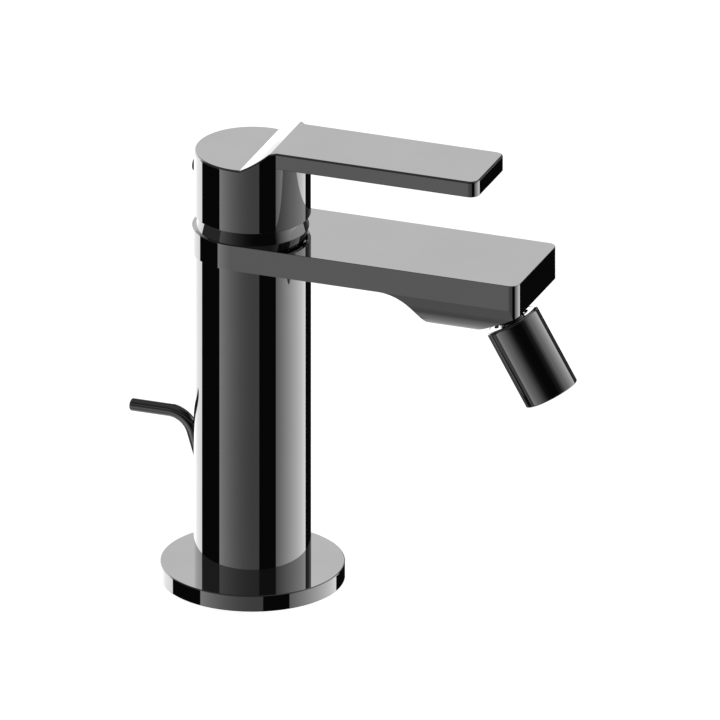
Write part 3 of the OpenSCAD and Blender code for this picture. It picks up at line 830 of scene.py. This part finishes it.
def panel(angle, dim_side, bright_side, dim, bright, bend, up, down, full=None):
    """soft panel between two angles round the object; up = (full height, top, bend), down = (full height, bottom)"""
    full = bright_side if full is None else full
    s = 0.3 if bright_side > dim_side else -0.3
    inside = math_node("MULTIPLY", ease(angle, dim_side - s, dim_side + s), ease(angle, bright_side + s, bright_side - s))
    upright = math_node("MULTIPLY", ease(rise, up[1], up[0], up[2]), ease(rise, down[1], down[0]))
    return math_node("MULTIPLY", ease(angle, dim_side, full, bend, dim, bright),
                     math_node("MULTIPLY", inside, upright))


direction = wt.nodes.new("ShaderNodeTexCoord").outputs["Generated"]
toward = dot_node(direction, (0.34873, -0.93722, 0.0))
right = dot_node(direction, (0.93722, 0.34873, 0.0))
rise = math_node("ARCSINE", dot_node(direction, (0.0, 0.0, 1.0)))
front = math_node("ARCTAN2", right, toward)      # 0 in front, positive to the right
rear = math_node("ARCTAN2", math_node("MULTIPLY", right, -1.0), math_node("MULTIPLY", toward, -1.0))   # 0 behind

depth = math_node("ARCSINE", math_node("MULTIPLY", toward, -1.0))      # positive behind

# below eye level the panels' edges lean to the left
lean = ease(rise, -23, -45, 1.0, 0.0, rad(13.5))
low_front, low_rear = math_node("ADD", front, lean), math_node("ADD", rear, lean)

STRIP = (25, 26.5, 1.0), (21, 19.5)
light = [
    # large panel behind and left, brighter in its lower half
    panel(rear, -6, 61.4, 1.00, 1.88, 1.0, (24, 42, 1.5), (-27, -31), 22),
    panel(rear, 40, -6, 0.0, 0.40, 1.0, (12, 22, 1.0), (-27, -31)),
    panel(rear, 40, -6, 0.0, 0.95, 1.0, (11, 20, 1.0), (0, -10)),
    # panel at the front left, and its glow low down
    panel(low_front, 13.2, -68.3, 0.0, 0.42, 2.4, (-20, 50, 2.0), (-24, -58)),
    panel(low_front, 13.2, -68.3, 0.13, 0.13, 1.0, (-23, -6, 1.0), (-24, -58)),
    panel(low_front, 13.2, -68.3, 0.0, 0.40, 3.0, (-36, -24, 1.0), (-24, -58)),
    # panel at the right, and its glow low down
    panel(front, 47.2, 129.2, 0.0, 1.74, 1.1, (-20, 85, 1.25), (-31, -90)),
    panel(front, 129.2, 47.2, 0.0, 0.30, 1.0, (-20, 8, 1.5), (-31, -90)),
    # strip lights above both
    panel(front, 13.2, -68.3, 0.10, 0.33, 2.0, *STRIP),
    panel(front, 47.2, 129.2, 0.26, 0.68, 1.0, *STRIP),
    # haze in the gaps beside the rear panel
    panel(rear, 61.4, 111.7, 0.05, 0.05, 1.0, (23, 60, 1.0), (-5, -20)),
    panel(front, 129.2, 168, 0.05, 0.60, 2.0, (15, 40, 1.0), (10, -12)),
    panel(low_rear, 15, 111.7, 0.095, 0.095, 1.0, (-31, -27, 1.0), (-48, -75)),
    # pale floor mirrored from below, brighter toward the rear, and the ceiling
    math_node("MULTIPLY", ease(rise, -36, -64), ease(depth, -24, 58, 1.0, 0.16, 0.78)),
    panel(rear, -22, 0, 0.0, 0.6, 1.0, (-36, -31, 1.0), (-40, -66)),
    panel(rear, 22, 0, 0.0, 0.6, 1.0, (-36, -31, 1.0), (-40, -66)),
    ease(rise, 13, 19, 1.0, 0.006, 0.036),
    ease(rise, 40, 70, 1.0, 0.0, 0.07),
]
studio = light[0]
for one in light[1:]:
    studio = math_node("ADD", studio, one)

paths = wt.nodes.new("ShaderNodeLightPath")
lit = wt.nodes.new("ShaderNodeBackground")
lit.inputs["Strength"].default_value = 1.0
wt.links.new(studio, lit.inputs["Color"])
plain = wt.nodes.new("ShaderNodeBackground")
plain.inputs["Color"].default_value = (1, 1, 1, 1)
plain.inputs["Strength"].default_value = 1.0
pick = wt.nodes.new("ShaderNodeMixShader")
wt.links.new(paths.outputs["Is Camera Ray"], pick.inputs["Fac"])
wt.links.new(lit.outputs["Background"], pick.inputs[1])
wt.links.new(plain.outputs["Background"], pick.inputs[2])
out = wt.nodes.new("ShaderNodeOutputWorld")
wt.links.new(pick.outputs["Shader"], out.inputs["Surface"])

scene.view_settings.view_transform = "Standard"
scene.view_settings.look = "None"

# camera at the photograph's angle; the photograph is parallel
AZ, EL = rad(20.41), rad(23.08)
aim = Vector((0.037137, 0.0, 0.08138))
back = Vector((math.sin(AZ) * math.cos(EL), -math.cos(AZ) * math.cos(EL), math.sin(EL)))
cam_data = bpy.data.cameras.new("camera")
cam = bpy.data.objects.new("camera", cam_data)
scene.collection.objects.link(cam)
cam_data.type = "ORTHO"
cam_data.ortho_scale = 0.72 / 3.09
DIST = 2.0
cam_data.clip_start, cam_data.clip_end = 0.1, 60.0
cam.location = aim + back * DIST
cam.rotation_mode = "QUATERNION"
cam.rotation_quaternion = (-back).to_track_quat("-Z", "Y")
scene.camera = cam

bpy.context.view_layer.update()
